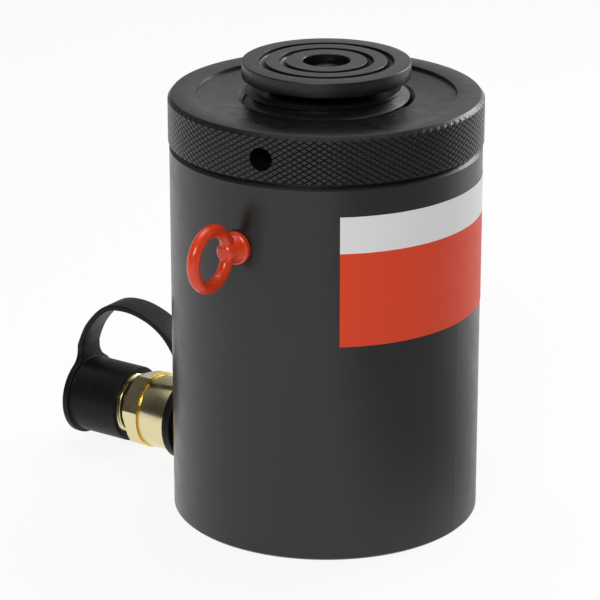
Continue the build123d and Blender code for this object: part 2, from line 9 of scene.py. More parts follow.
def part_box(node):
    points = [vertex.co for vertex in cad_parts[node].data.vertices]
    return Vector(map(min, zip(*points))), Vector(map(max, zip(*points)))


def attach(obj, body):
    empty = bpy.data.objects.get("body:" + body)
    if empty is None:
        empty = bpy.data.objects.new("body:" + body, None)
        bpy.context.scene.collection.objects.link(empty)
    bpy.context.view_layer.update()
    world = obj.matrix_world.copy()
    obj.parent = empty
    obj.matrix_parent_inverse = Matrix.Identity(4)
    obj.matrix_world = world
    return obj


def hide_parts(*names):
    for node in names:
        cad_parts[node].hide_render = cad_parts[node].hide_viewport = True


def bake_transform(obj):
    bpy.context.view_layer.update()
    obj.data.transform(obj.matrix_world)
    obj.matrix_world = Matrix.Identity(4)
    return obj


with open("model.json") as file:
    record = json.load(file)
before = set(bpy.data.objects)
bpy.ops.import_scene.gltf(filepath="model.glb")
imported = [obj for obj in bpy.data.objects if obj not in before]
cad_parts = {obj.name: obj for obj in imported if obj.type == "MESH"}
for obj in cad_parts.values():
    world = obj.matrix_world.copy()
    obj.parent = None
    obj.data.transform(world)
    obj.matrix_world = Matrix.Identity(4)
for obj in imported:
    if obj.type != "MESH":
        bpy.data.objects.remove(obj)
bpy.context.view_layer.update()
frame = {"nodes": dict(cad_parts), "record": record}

# Looks of the locking collar hydraulic cylinder. Shapes are worked out in millimetres, in the frame of
# the CAD model, and become metres when a mesh is made. Distances along the coupler run from the barrel's axis.
mm = 0.001


def edges_of(node):
    """Lowest and highest corner of a CAD node, in millimetres."""
    low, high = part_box(node)
    return low / mm, high / mm


barrel_low, barrel_high = edges_of("cylinder_barrel")
collar_low, collar_high = edges_of("lock_collar")
plunger_low, plunger_high = edges_of("plunger")
cap_low, cap_high = edges_of("swivel_cap")
screw_low, screw_high = edges_of("cap_screw")
eye_low, eye_high = edges_of("lifting_eye_front")
body_low, body_high = edges_of("coupler_body")
spigot_low, spigot_high = edges_of("coupler_spigot")
dust_low, dust_high = edges_of("dust_cap")
ring_low, ring_high = edges_of("strap_ring")
label_low, label_high = edges_of("label")

# Barrel and lock collar
barrel_radius = barrel_high.y
collar_radius = collar_high.y
collar_bottom, collar_top = collar_low.z, collar_high.z
collar_foot_chamfer = (1.75, 1.7)
collar_top_chamfer = (1.45, 1.75)
collar_rim_width = 9.7
collar_recess_depth = 1.4
collar_lead_in = 2.1
collar_edge = 0.12
tommy_holes = [m for m in frame["record"]["mounts"] if m["name"].startswith("tommy_hole")]
tommy_point_height = 2.2

# Knurl: diamonds between two families of V-grooves
knurl_count = 104
knurl_rise = 2.327
knurl_depth = 0.34
knurl_pad_share = 0.7

# Threads
plunger_thread_radius = 33.7
plunger_thread_depth = 3.4
plunger_thread_pitch = 6.35
plunger_thread_phase = 0.3
thread_crest = 0.14
thread_root = 0.12
piston_top = 72.5
plunger_cone_height = 2.7
plunger_cone_width = 3.4
plunger_relief_top = 81.1

# Swivel cap and its screw
cap_underside = 184.8
cap_ball_radius = 28.0
cap_ball_centre = 197.0
cap_web_radius = 6.7
cap_counterbore_radius = 9.55
cap_counterbore_floor = 176.8
cap_groove_radii = (25.95, 17.75)
cap_groove_width = 2.7
cap_groove_depth = 2.3
cap_edge = 0.55
screw_radius = 4.0
screw_head_radius = 6.5
screw_head_height = 8.0
screw_socket_width = 6.0
screw_socket_depth = 4.0

# Lifting eyes
eye_centre = Vector((0, eye_low.y + (eye_high.z - eye_low.z) / 2, (eye_low.z + eye_high.z) / 2))
eye_outer_radius = (eye_high.z - eye_low.z) / 2
eye_wire_radius = 2.6
eye_shoulder_radius = 6.8
eye_shoulder_thickness = 2.0
eye_flare_radius = 6.0
eye_neck_radius = 4.7
eye_nose_radius = 3.7
eye_nose_rise = 1.0
eye_shank_radius = 3.17

# Coupler, with distances out from the barrel's axis
port_height = (body_low.z + body_high.z) / 2
coupler_back, hex_out = -body_high.x, -body_low.x
hex_in = 86.7
hex_across_flats = 29.5
hex_turn = 19.5
hex_corner_radius = 16.95
hex_corner_chamfer = 0.9
hex_groove_width = 0.75
hex_groove_radius = 15.55
coupler_round_radius = 16.0
coupler_back_chamfer = 0.7
nipple_radius = 8.6
spigot_radius = spigot_high.y
spigot_out = -spigot_low.x
spigot_neck_end = 98.6
spigot_thread_pitch = 1.8
spigot_thread_depth = 1.0
mouth_radius = 9.6
mouth_depth = 14.4
valve_seat_radius = 5.5

# Dust cap, strap and strap ring
dust_mouth, dust_out = -dust_high.x, -dust_low.x
dust_radius = 16.5
flange_radius = dust_high.y
flange_thickness = 2.9
dust_end_wall = 4.3
ring_in, ring_out = -ring_high.x, -ring_low.x
ring_radius = ring_high.y
strap_width = 13.0
strap_thickness = 2.4
strap_fillet = 7.0
strap_taper = 9.0
strap_sink = 0.02
moulded_edge = 0.5
strap_course = ((124.0, 45.6), (119.4, 55.0), (110.3, 63.9), (99.5, 66.0), (88.5, 63.8), (80.0, 59.0), (74.2, 52.2))

# Label
label_white_height = 15.0
label_film = 0.18

# Camera, from the silhouettes of the barrel and the collar in the photograph
camera_turn = 34.0
camera_tilt = 70.10
camera_side = -10.56
camera_back = 1199.3
camera_height = 522.9
camera_lens = 185.56
camera_sensor = 36.0

# Studio: grey levels of the world by direction, and of the floor
world_front = 0.05
world_back_left = 0.2
world_back_right = 1.0
world_overhead = 0.6
floor_glow = 0.88
floor_glow_in_metal = 0.9
floor_dark_share = 0.62


def turned(x, y, z):
    """A place given from the camera's side, in metres: x to its right, y away from it, z up."""
    turn = radians(camera_turn)
    return Vector((x * cos(turn) - y * sin(turn), x * sin(turn) + y * cos(turn), z))


def make_camera():
    data = bpy.data.cameras.new("camera")
    data.lens = camera_lens
    data.sensor_width = camera_sensor
    camera = bpy.data.objects.new("camera", data)
    camera.location = turned(camera_side, -camera_back, camera_height) * mm
    camera.rotation_euler = (radians(camera_tilt), 0, radians(camera_turn))
    bpy.context.scene.collection.objects.link(camera)
    bpy.context.scene.camera = camera


def make_lamp(name, place, size, power, target=(0, 0, 0.09)):
    """A soft rectangular lamp, placed from the camera's side and aimed at the object."""
    data = bpy.data.lights.new(name, "AREA")
    data.shape = "RECTANGLE"
    data.size, data.size_y = size
    data.energy = power
    lamp = bpy.data.objects.new(name, data)
    lamp.location = turned(*place)
    lamp.rotation_euler = (Vector(target) - lamp.location).to_track_quat("-Z", "Y").to_euler()
    bpy.context.scene.collection.objects.link(lamp)


def make_lights():
    make_lamp("lamp_top", (0.0, 0.25, 1.5), (1.1, 0.9), 8.0)
    make_lamp("lamp_right", (0.62, 0.5, 0.42), (0.28, 0.5), 2.6)
    make_lamp("lamp_front", (-0.45, -1.45, 1.15), (0.9, 0.6), 15.0)


def make_world():
    """A studio that is dark on the camera's side, pale behind the object and palest at the back right."""
    world = bpy.data.worlds.new("studio")
    bpy.context.scene.world = world
    world.use_nodes = True
    tree = world.node_tree
    tree.nodes.clear()
    direction = tree.nodes.new("ShaderNodeTexCoord").outputs["Generated"]
    turn = radians(camera_turn)

    def along(axis):
        node = tree.nodes.new("ShaderNodeVectorMath")
        node.operation = "DOT_PRODUCT"
        tree.links.new(direction, node.inputs[0])
        node.inputs[1].default_value = axis
        return node.outputs["Value"]

    def spread(value, start, end, low, high):
        node = tree.nodes.new("ShaderNodeMapRange")
        node.interpolation_type = "SMOOTHSTEP"
        tree.links.new(value, node.inputs["Value"])
        for name, number in (("From Min", start), ("From Max", end), ("To Min", low), ("To Max", high)):
            if isinstance(number, bpy.types.NodeSocket):
                tree.links.new(number, node.inputs[name])
            else:
                node.inputs[name].default_value = number
        return node.outputs[0]

    rightward = along((cos(turn), sin(turn), 0))
    backward = along((-sin(turn), cos(turn), 0))
    upward = along((0, 0, 1))
    back = spread(rightward, -0.4, 0.6, world_back_left, world_back_right)
    around = spread(backward, -0.25, 0.55, world_front, back)
    level = spread(upward, 0.72, 0.97, around, world_overhead)
    shade = tree.nodes.new("ShaderNodeBackground")
    tree.links.new(level, shade.inputs["Color"])
    out = tree.nodes.new("ShaderNodeOutputWorld")
    tree.links.new(shade.outputs[0], out.inputs["Surface"])


# Materials


class Paint:
    """A Principled material and short calls that add nodes to it."""

    def __init__(self, name, colour, roughness, metallic=0.0, **settings):
        self.material = bpy.data.materials.new(name)
        self.material.use_nodes = True
        self.tree = self.material.node_tree
        self.shader = self.tree.nodes["Principled BSDF"]
        self.shader.inputs["Base Color"].default_value = (*colour, 1)
        self.shader.inputs["Roughness"].default_value = roughness
        self.shader.inputs["Metallic"].default_value = metallic
        for key, value in settings.items():
            self.shader.inputs[key.replace("_", " ")].default_value = value
        self.colour, self.roughness = colour, roughness
        self.coord = self.tree.nodes.new("ShaderNodeTexCoord").outputs["Object"]
        self.height = None

    def node(self, kind, inputs=(), **settings):
        node = self.tree.nodes.new(kind)
        for key, value in settings.items():
            setattr(node, key, value)
        for key, value in inputs:
            if isinstance(value, bpy.types.NodeSocket):
                self.tree.links.new(value, node.inputs[key])
            else:
                node.inputs[key].default_value = value
        return node

    def stretched(self, scale):
        """Object coordinates with their own scale along each axis."""
        return self.node("ShaderNodeMapping", [("Vector", self.coord), ("Scale", scale)]).outputs[0]

    def noise(self, size, detail=3.0, rough=0.55, scale=(1, 1, 1)):
        """Noise whose features are about size millimetres across."""
        inputs = [("Vector", self.stretched(scale)), ("Scale", 1 / (size * mm)), ("Detail", detail)]
        return self.node("ShaderNodeTexNoise", inputs + [("Roughness", rough)]).outputs[0]

    def along(self, axis):
        """The object coordinate along an axis, in metres."""
        node = self.node("ShaderNodeVectorMath", [(0, self.coord), (1, axis)], operation="DOT_PRODUCT")
        return node.outputs["Value"]

    def spread(self, value, low, high, start=0.3, end=0.7):
        """Maps a noise value onto a range."""
        inputs = [("Value", value), ("From Min", start), ("From Max", end), ("To Min", low), ("To Max", high)]
        return self.node("ShaderNodeMapRange", inputs).outputs[0]

    def tint(self, value, other):
        """Mixes the colour with another by a value from 0 to 1."""
        inputs = [("Factor", value), ("A", (*self.colour, 1)), ("B", (*other, 1))]
        mix = self.tree.nodes.new("ShaderNodeMix")
        mix.data_type = "RGBA"
        self.tree.links.new(value, mix.inputs[0])
        mix.inputs[6].default_value = inputs[1][1]
        mix.inputs[7].default_value = inputs[2][1]
        self.tree.links.new(mix.outputs[2], self.shader.inputs["Base Color"])

    def vary_roughness(self, value, amount):
        low, high = self.roughness - amount, self.roughness + amount
        self.tree.links.new(self.spread(value, low, high), self.shader.inputs["Roughness"])

    def bump(self, value, depth, strength=1.0):
        """Adds a bump of a depth in millimetres on top of those before it."""
        inputs = [("Height", value), ("Distance", depth * mm), ("Strength", strength)]
        if self.height:
            inputs.append(("Normal", self.height))
        self.height = self.node("ShaderNodeBump", inputs).outputs[0]
        self.tree.links.new(self.height, self.shader.inputs["Normal"])

    def rings(self, spacing, axis="Z", wobble=0.6):
        """Fine turning marks around an axis, spacing millimetres apart."""
        inputs = [("Vector", self.coord), ("Scale", 1 / (spacing * mm) / 3.2), ("Distortion", wobble)]
        inputs += [("Detail", 2.0), ("Detail Scale", 1.5)]
        return self.node(
            "ShaderNodeTexWave", inputs, wave_type="RINGS", rings_direction=axis, wave_profile="SAW"
        ).outputs["Fac"]


def enamel(name, colour, other, roughness, grain, **settings):
    """Sprayed enamel: a fine grain, slow mottling and slightly uneven gloss."""
    paint = Paint(name, colour, roughness, **settings)
    paint.tint(paint.spread(paint.noise(22, 4), 0, 1), other)
    paint.vary_roughness(paint.noise(9, 3), 0.04)
    paint.bump(paint.noise(grain, 2), 0.012)
    paint.bump(paint.noise(grain * 9, 2), 0.02)
    return paint.material


def turned_steel(name, colour, other, roughness, spacing, axis="Z", **settings):
    """Machined metal with turning marks around one axis."""
    paint = Paint(name, colour, roughness, **settings)
    paint.tint(paint.spread(paint.noise(14, 4), 0, 1), other)
    paint.vary_roughness(paint.noise(5, 3), 0.05)
    paint.bump(paint.rings(spacing, axis), 0.006)
    paint.bump(paint.noise(0.25, 2), 0.005)
    return paint.material


def moulded(name, colour, other, roughness, grain, depth, **settings):
    """Moulded rubber or plastic with a fine matt grain."""
    paint = Paint(name, colour, roughness, **settings)
    paint.tint(paint.spread(paint.noise(8, 4), 0, 1), other)
    paint.vary_roughness(paint.noise(3, 3), 0.05)
    paint.bump(paint.noise(grain, 3), depth)
    return paint.material


def wire(name, colour, other, roughness):
    """Drawn wire with fine streaks."""
    paint = Paint(name, colour, roughness, metallic=1.0)
    paint.tint(paint.spread(paint.noise(1.5, 3, scale=(1, 1, 0.2)), 0, 1), other)
    paint.vary_roughness(paint.noise(0.8, 2), 0.06)
    paint.bump(paint.noise(0.2, 2, scale=(0.2, 1, 1)), 0.004)
    return paint.material


def film(name, colour, other):
    """Printed label film: a faint print dot, a slow shade and a soft gloss."""
    paint = Paint(name, colour, 0.5, Specular_IOR_Level=0.35)
    paint.tint(paint.spread(paint.noise(0.5, 2), 0, 0.5), other)
    paint.vary_roughness(paint.noise(6, 3), 0.05)
    paint.bump(paint.noise(7, 2), 0.02)
    return paint.material


def make_materials():
    return {
        "barrel_paint": enamel("barrel_paint", (0.01, 0.01, 0.0102), (0.0125, 0.0125, 0.0128), 0.32, 0.45),
        "collar_steel": turned_steel("collar_steel", (0.005, 0.005, 0.0052), (0.007, 0.007, 0.007), 0.3, 0.35),
        "plunger_steel": turned_steel("plunger_steel", (0.006, 0.006, 0.0062), (0.01, 0.01, 0.01), 0.3, 0.3),
        "cap_steel": turned_steel("cap_steel", (0.005, 0.005, 0.0052), (0.007, 0.007, 0.007), 0.3, 0.4),
        "machined_steel": turned_steel(
            "machined_steel", (0.42, 0.42, 0.43), (0.36, 0.36, 0.37), 0.34, 0.3, metallic=1.0
        ),
        "eye_paint": enamel("eye_paint", (0.74, 0.05, 0.01), (0.7, 0.045, 0.009), 0.2, 1.6),
        "screw_steel": turned_steel("screw_steel", (0.012, 0.012, 0.013), (0.02, 0.02, 0.02), 0.34, 0.3),
        "bronze": turned_steel("bronze", (0.45, 0.27, 0.1), (0.38, 0.22, 0.08), 0.36, 0.3, metallic=1.0),
        "coupler_brass": turned_steel(
            "coupler_brass", (0.78, 0.7, 0.41), (0.74, 0.66, 0.38), 0.2, 0.3, axis="X", metallic=1.0
        ),
        "bare_brass": turned_steel(
            "bare_brass", (0.85, 0.66, 0.2), (0.8, 0.6, 0.17), 0.24, 0.3, axis="X", metallic=1.0
        ),
        "valve_steel": turned_steel(
            "valve_steel", (0.5, 0.5, 0.5), (0.42, 0.42, 0.43), 0.3, 0.25, axis="X", metallic=1.0
        ),
        "spring_steel": wire("spring_steel", (0.35, 0.35, 0.36), (0.28, 0.28, 0.29), 0.32),
        "seal_rubber": moulded("seal_rubber", (0.014, 0.014, 0.014), (0.02, 0.02, 0.02), 0.5, 0.3, 0.01),
        "seal_polymer": moulded("seal_polymer", (0.55, 0.48, 0.3), (0.5, 0.43, 0.26), 0.45, 0.4, 0.01),
        "cap_rubber": moulded(
            "cap_rubber", (0.003, 0.003, 0.003), (0.0045, 0.0045, 0.0045), 0.45, 0.35, 0.02, Specular_IOR_Level=0.2
        ),
        "label_film": film("label_film", (0.8, 0.8, 0.8), (0.76, 0.76, 0.76)),
        "label_colour": film("label_colour", (0.74, 0.052, 0.01), (0.69, 0.046, 0.009)),
    }


# Mesh code


def soften(points, radius, steps=3, closed=True, skip=()):
    """The outline with each of its corners rounded, except those whose index is in skip."""
    out = []
    count = len(points)
    for i, point in enumerate(points):
        ends = not closed and i in (0, count - 1)
        here = Vector(point)
        before, after = Vector(points[i - 1]), Vector(points[(i + 1) % count])
        if ends or i in skip or (before - here).angle(here - after, 0) < radians(12):
            out.append(tuple(here))
            continue
        half = (before - here).angle(after - here) / 2
        reach = min(radius / tan(half), 0.42 * (before - here).length, 0.42 * (after - here).length)
        start, end = here + (before - here).normalized() * reach, here + (after - here).normalized() * reach
        for k in range(steps + 1):
            t = k / steps
            out.append(tuple(start * (1 - t) ** 2 + here * 2 * t * (1 - t) + end * t**2))
    return out


def arc(centre, radius, start, end, steps):
    """Points on an arc, with angles in degrees."""
    spread = [radians(start + (end - start) * k / steps) for k in range(steps + 1)]
    return [(centre[0] + radius * cos(a), centre[1] + radius * sin(a)) for a in spread]


def mesh_object(name, verts, faces, place=None, sharp=30.0):
    """A smooth-shaded mesh object from points in millimetres."""
    mesh = bpy.data.meshes.new(name)
    mesh.from_pydata([tuple(Vector(v) * mm) for v in verts], [], faces)
    if place:
        mesh.transform(place)
    return finish_mesh(name, mesh, sharp)


def finish_mesh(name, mesh, sharp=30.0):
    """Welds a mesh, turns its faces outwards, marks its sharp edges and puts it in an object."""
    work = bmesh.new()
    work.from_mesh(mesh)
    bmesh.ops.remove_doubles(work, verts=work.verts, dist=0.000002)
    bmesh.ops.dissolve_degenerate(work, edges=work.edges, dist=0.000002)
    bmesh.ops.recalc_face_normals(work, faces=work.faces)
    work.to_mesh(mesh)
    work.free()
    mesh.shade_smooth()
    if sharp:
        mesh.set_sharp_from_angle(angle=radians(sharp))
    piece = bpy.data.objects.new(name, mesh)
    bpy.context.scene.collection.objects.link(piece)
    return piece


def lathe(profile, segments=128, closed=True):
    """Points and faces of a profile of radius and height, turned about Z."""
    verts, faces, rows = [], [], []
    for radius, height in profile:
        if radius < 1e-6:
            rows.append([len(verts)] * segments)
            verts.append((0, 0, height))
            continue
        rows.append(list(range(len(verts), len(verts) + segments)))
        verts += [(radius * cos(tau * k / segments), radius * sin(tau * k / segments), height) for k in range(segments)]
    pairs = list(zip(rows, rows[1:])) + ([(rows[-1], rows[0])] if closed else [])
    for low, high in pairs:
        for k in range(segments):
            n = (k + 1) % segments
            corners = [low[k], low[n], high[n], high[k]]
            face = [c for i, c in enumerate(corners) if c != corners[i - 1]]
            if len(face) > 2:
                faces.append(face)
    return verts, faces


def prism(outline, low, high):
    """Points and faces of a closed outline raised from one height to another."""
    count = len(outline)
    verts = [(x, y, low) for x, y in outline] + [(x, y, high) for x, y in outline]
    faces = [[k, (k + 1) % count, count + (k + 1) % count, count + k] for k in range(count)]
    faces += [list(range(count))[::-1], list(range(count, 2 * count))]
    return verts, faces


def joined(*shapes):
    """Several sets of points and faces as one."""
    verts, faces = [], []
    for more_verts, more_faces in shapes:
        faces += [[len(verts) + i for i in face] for face in more_faces]
        verts += more_verts
    return verts, faces


# Turns a shape about Z into one about the coupler's axis, so that height becomes the distance along -X
coupler_place = Matrix.Translation((0, 0, port_height * mm)) @ Matrix(
    ((0, 0, -1, 0), (1, 0, 0, 0), (0, 1, 0, 0), (0, 0, 0, 1))
)


def settle(piece, *modifiers):
    """Applies the modifiers that a piece was given."""
    for kind, settings in modifiers:
        modifier = piece.modifiers.new(kind.lower(), kind)
        for key, value in settings.items():
            setattr(modifier, key, value)
    bpy.context.view_layer.update()
    shape = bpy.data.meshes.new_from_object(piece.evaluated_get(bpy.context.evaluated_depsgraph_get()))
    piece.modifiers.clear()
    old = piece.data
    piece.data = shape
    bpy.data.meshes.remove(old)
    return piece


def cut(piece, tool, operation="DIFFERENCE", sharp=30.0):
    """A solid cut with another, or reduced to what both share. The tool is used up."""
    settings = dict(object=tool, operation=operation, solver="EXACT")
    settle(piece, ("BOOLEAN", settings))
    bpy.data.objects.remove(tool)
    name, mesh = piece.name, piece.data
    bpy.data.objects.remove(piece)
    return finish_mesh(name, mesh, sharp)


def dress(piece, body, material, slot, *nodes):
    """Gives a piece its material and its body, and hides the CAD nodes that it stands for."""
    for name in [material] if isinstance(material, str) else material:
        piece.data.materials.append(materials[name])
    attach(piece, body)
    if nodes:
        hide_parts(*nodes)
    return piece


# Lock collar


def knurled_bar(radius, low, high):
    """A bar with a diamond knurl from below low to above high: raised pads between V-grooves."""
    step = tau / knurl_count
    floor = radius - knurl_depth
    rows = int((high - low) / (knurl_rise / 2)) + 4
    start = low - knurl_rise
    verts, faces, corners = [], [], {}

    def place(turn, height, size):
        verts.append((size * cos(turn), size * sin(turn), height))
        return len(verts) - 1

    def corner(column, row):
        """A crossing of grooves. Columns count half steps of angle, rows half steps of height."""
        key = (column % (2 * knurl_count), row)
        if key not in corners:
            corners[key] = place(column * step / 2, start + row * knurl_rise / 2, floor)
        return corners[key]

    for row in range(rows):
        for i in range(knurl_count):
            column = 2 * i + row % 2
            outer = [corner(column - 1, row), corner(column, row - 1), corner(column + 1, row), corner(column, row + 1)]
            turn, height = column * step / 2, start + row * knurl_rise / 2
            across, up = knurl_pad_share * step / 2, knurl_pad_share * knurl_rise / 2
            inner = [
                place(turn - across, height, radius),
                place(turn, height - up, radius),
                place(turn + across, height, radius),
                place(turn, height + up, radius),
            ]
            faces.append(inner)
            faces += [[outer[k], outer[(k + 1) % 4], inner[(k + 1) % 4], inner[k]] for k in range(4)]
    for row, beyond in ((-1, -2), (rows, rows + 1)):
        side = row % 2
        inside = row + 1 if row < 0 else row - 1
        ring = []
        for i in range(knurl_count):
            column = 2 * i + (inside + 1) % 2 + side * 0
            low_point, peak = corner(2 * i + (inside + 1) % 2, inside), corner(2 * i + inside % 2, row)
            ring.append((low_point, peak))
        cap = []
        for i in range(2 * knurl_count):
            cap.append(place(i * step / 2, start + beyond * knurl_rise / 2, floor))
        edge = []
        for i in range(2 * knurl_count):
            at_peak = (i % 2) == (inside % 2)
            edge.append(corner(i, row) if at_peak else corner(i, inside))
        for i in range(2 * knurl_count):
            n = (i + 1) % (2 * knurl_count)
            faces.append([edge[i], edge[n], cap[n], cap[i]])
        faces.append(cap)
    return verts, faces


def make_collar():
    foot_width, foot_height = collar_foot_chamfer
    top_width, top_height = collar_top_chamfer
    bore = plunger_thread_radius + 0.1
    recess_radius = collar_radius - top_width - collar_rim_width
    recess_floor = collar_top - collar_recess_depth
    section = [
        (bore, collar_bottom),
        (collar_radius - foot_width, collar_bottom),
        (collar_radius, collar_bottom + foot_height),
        (collar_radius, collar_top - top_height),
        (collar_radius - top_width, collar_top),
        (recess_radius, collar_top),
        (recess_radius, recess_floor),
        (bore + collar_lead_in, recess_floor),
        (bore, recess_floor - collar_lead_in),
    ]
    collar = mesh_object("lock_collar_knurled", *lathe(soften(section, collar_edge, 2, skip=(2, 3)), 208))
    hole_radius = tommy_holes[0]["dims"]["r_mm"]
    depth = tommy_holes[0]["dims"]["length_mm"]
    floor = collar_radius - depth
    for hole in tommy_holes:
        outline = [(0, floor - tommy_point_height), (hole_radius, floor), (hole_radius, collar_radius + 2), (0, collar_radius + 2)]
        out = Vector(hole["axis"])
        up = Vector((0, 0, 1))
        place = Matrix.Translation((0, 0, hole["pos_m"][2])) @ Matrix(
            ((up.cross(out).x, up.x, out.x, 0), (up.cross(out).y, up.y, out.y, 0), (0, 1, 0, 0), (0, 0, 0, 1))
        )
        drill = mesh_object("drill", *lathe(outline, 48, closed=False), place)
        collar = cut(collar, drill)
    bar = mesh_object("knurled_bar", *knurled_bar(collar_radius, collar_bottom, collar_top))
    collar = cut(collar, bar, "INTERSECT", sharp=24.0)
    return dress(collar, "collar", "collar_steel", "collar_steel", "lock_collar")


# Plunger with its thread


def threaded_bar(name, radius, depth, pitch, bottom, top, start=0.0, segments=128, rows_per_turn=16, place=None):
    """A closed bar about Z with a right-hand thread that runs out past bottom and top."""
    rows = rows_per_turn * (int((top - bottom) / pitch) + 3)
    verts, faces = [], []
    for i in range(rows):
        share = i / rows_per_turn % 1.0
        flank = (abs(share - 0.5) * 2 - thread_root) / (1 - thread_root - thread_crest)
        size = radius - depth * (1 - min(1.0, max(0.0, flank)))
        for k in range(segments):
            height = bottom + pitch * (i / rows_per_turn + k / segments - 2 + start)
            verts.append((size * cos(tau * k / segments), size * sin(tau * k / segments), height))

    def at(i, k):
        """Index of a point. One turn round the bar climbs by one pitch."""
        return (i + rows_per_turn * (k // segments)) * segments + k % segments

    for i in range(rows - 1):
        for k in range(segments):
            if k < segments - 1 or i + 1 + rows_per_turn < rows:
                faces.append([at(i, k), at(i, k + 1), at(i + 1, k + 1), at(i + 1, k)])
    last = rows - 1
    low = [at(0, k) for k in range(segments)] + [at(i, 0) for i in range(rows_per_turn, 0, -1)]
    high = [at(last, k) for k in range(segments)] + [at(last - i, segments - 1) for i in range(1, rows_per_turn + 1)]
    for ring in (low, high):
        middle = sum(verts[i][2] for i in ring) / len(ring)
        verts.append((0, 0, middle))
        faces += [[ring[i - 1], ring[i], len(verts) - 1] for i in range(len(ring))]
    return mesh_object(name, verts, faces, place)


def make_plunger():
    """A threaded rod with a coned end and a ball seat, on its piston head."""
    top = plunger_high.z
    piston_radius = plunger_high.x
    seat = [(4.1, cap_ball_centre - sqrt(cap_ball_radius**2 - 4.1**2) - 0.06)]
    rim = sqrt(cap_ball_radius**2 - (cap_ball_centre - top) ** 2)
    for k in range(1, 9):
        reach = 4.1 + (rim - 4.1) * k / 8
        seat.append((reach, cap_ball_centre - sqrt(cap_ball_radius**2 - reach**2) - 0.06))
    end = [
        (0, seat[0][1] - 2),
        (4.1, seat[0][1] - 2),
        *seat,
        (plunger_thread_radius - plunger_cone_width, top),
        (plunger_thread_radius, top - plunger_cone_height),
        (plunger_thread_radius, plunger_relief_top),
        (plunger_thread_radius - 3.6, plunger_relief_top - 3.6),
        (plunger_thread_radius - 3.6, piston_top - 1),
        (0, piston_top - 1),
    ]
    rod = threaded_bar(
        "plunger_threaded",
        plunger_thread_radius,
        plunger_thread_depth,
        plunger_thread_pitch,
        piston_top,
        top,
        plunger_thread_phase,
    )
    rod = cut(rod, mesh_object("turned", *lathe(end, 128, closed=False)), "INTERSECT", sharp=26.0)
    foot = [
        (0, plunger_low.z),
        (piston_radius - 8, plunger_low.z),
        (piston_radius, plunger_low.z + 8),
        (piston_radius, piston_top - 1),
        (piston_radius - 1, piston_top),
        (0, piston_top),
    ]
    head = mesh_object("head", *lathe(foot, 96, closed=False))
    plunger = merge(rod, head)
    return dress(plunger, "ram", "plunger_steel", "plunger_steel", "plunger")


def merge(piece, other):
    """Adds another mesh to a piece, with no cutting. The other is used up."""
    work = bmesh.new()
    work.from_mesh(piece.data)
    work.from_mesh(other.data)
    work.to_mesh(piece.data)
    work.free()
    bpy.data.objects.remove(other)
    return piece


# Swivel cap and its screw


def make_cap():
    top = cap_high.z
    radius = cap_high.y
    rim = sqrt(cap_ball_radius**2 - (cap_ball_centre - cap_underside) ** 2)
    ball = []
    for k in range(9):
        reach = cap_web_radius + (rim - cap_web_radius) * k / 8
        ball.append((reach, cap_ball_centre - sqrt(cap_ball_radius**2 - reach**2)))
    edge = soften(
        [(rim, cap_underside), (radius, cap_underside), (radius, top), (cap_groove_radii[0] + 3, top)],
        cap_edge,
        4,
        closed=False,
    )
    face = []
    half = cap_groove_width / 2
    for groove in cap_groove_radii:
        wall = cap_groove_depth - half
        face += [(groove + half + 0.12, top), (groove + half, top - 0.12), (groove + half, top - wall)]
        face += arc((groove, top - wall), half, 0, -180, 10)[1:-1]
        face += [(groove - half, top - wall), (groove - half, top - 0.12), (groove - half - 0.12, top)]
    bore = [
        (cap_counterbore_radius + 0.3, top),
        (cap_counterbore_radius, top - 0.3),
        (cap_counterbore_radius, cap_counterbore_floor + 0.4),
        (cap_counterbore_radius - 0.4, cap_counterbore_floor),
        (cap_web_radius, cap_counterbore_floor),
    ]
    cap = mesh_object("swivel_cap_turned", *lathe(ball + edge[1:-1] + face + bore, 160))
    return dress(cap, "cap", "cap_steel", "cap_steel", "swivel_cap")


def make_screw():
    top = screw_high.z
    under = top - screw_head_height
    outline = soften(
        [
            (0, screw_low.z),
            (screw_radius, screw_low.z),
            (screw_radius, under),
            (screw_head_radius, under),
            (screw_head_radius, top),
            (0, top),
        ],
        0.7,
        3,
        closed=False,
    )
    screw = mesh_object("cap_screw_socket", *lathe(outline, 72, closed=False))
    corner = screw_socket_width / sqrt(3)
    hexagon = [(corner * cos(radians(60 * k + 12)), corner * sin(radians(60 * k + 12))) for k in range(6)]
    socket = mesh_object("socket", *prism(hexagon, top - screw_socket_depth, top + 2))
    screw = cut(screw, socket)
    lead = [(0, top - 0.9), (corner - 0.45, top - 0.9), (corner + 0.55, top + 0.1), (0, top + 0.1)]
    screw = cut(screw, mesh_object("lead", *lathe(lead, 48, closed=False)))
    return dress(screw, "ram", "screw_steel", "screw_steel", "cap_screw")


# Lifting eyes


